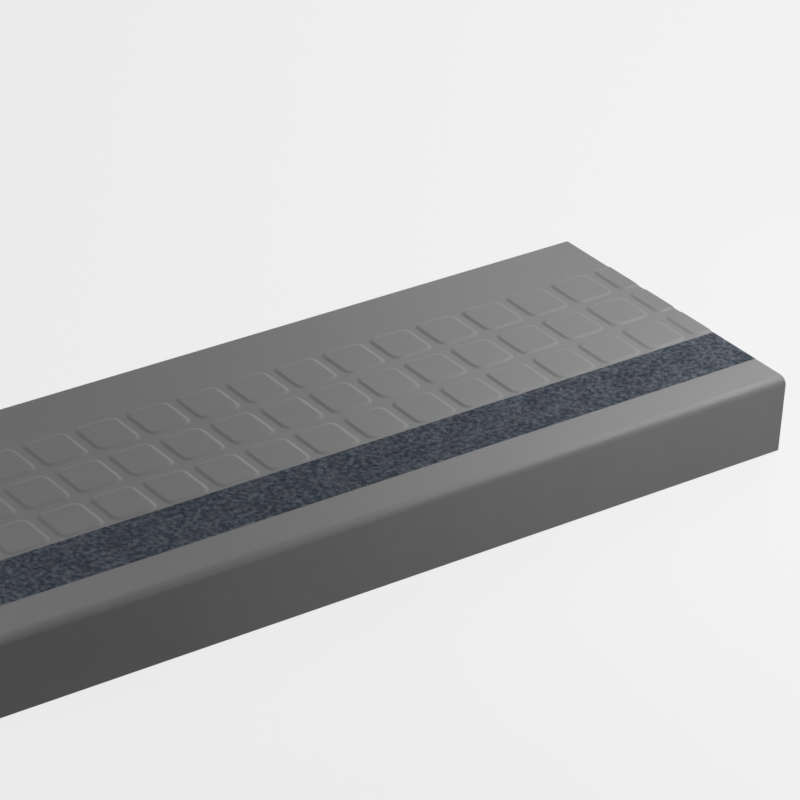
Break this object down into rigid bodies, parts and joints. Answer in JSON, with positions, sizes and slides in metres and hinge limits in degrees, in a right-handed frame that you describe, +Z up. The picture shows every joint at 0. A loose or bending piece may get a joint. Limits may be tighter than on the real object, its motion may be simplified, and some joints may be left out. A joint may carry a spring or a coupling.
{
  "type": "rubber stair tread",
  "caption": "Moulded grey rubber stair tread: flat plate with low raised squares, a full-length grit strip, a rounded nose and a flap that hangs over the step's front.",
  "frame": {"origin": "centre of the bounding box on the floor, with the tread lying unheld as it comes to rest on the flap's lower edge and its own back edge", "axes": "+X along the tread's length, nose and flap towards -Y, +Z up from the floor; the walking face slopes down towards +Y by 12.9 degrees"},
  "size_m": [0.9144, 0.313, 0.0696],
  "materials": {
    "rubber": "satin matte, mid grey",
    "grit": "mineral grit bonded in resin, dark blue grey"
  },
  "bodies": {
    "root": {"rubber_tread": "rubber", "grit_strip": "grit"}
  },
  "joints": []
}
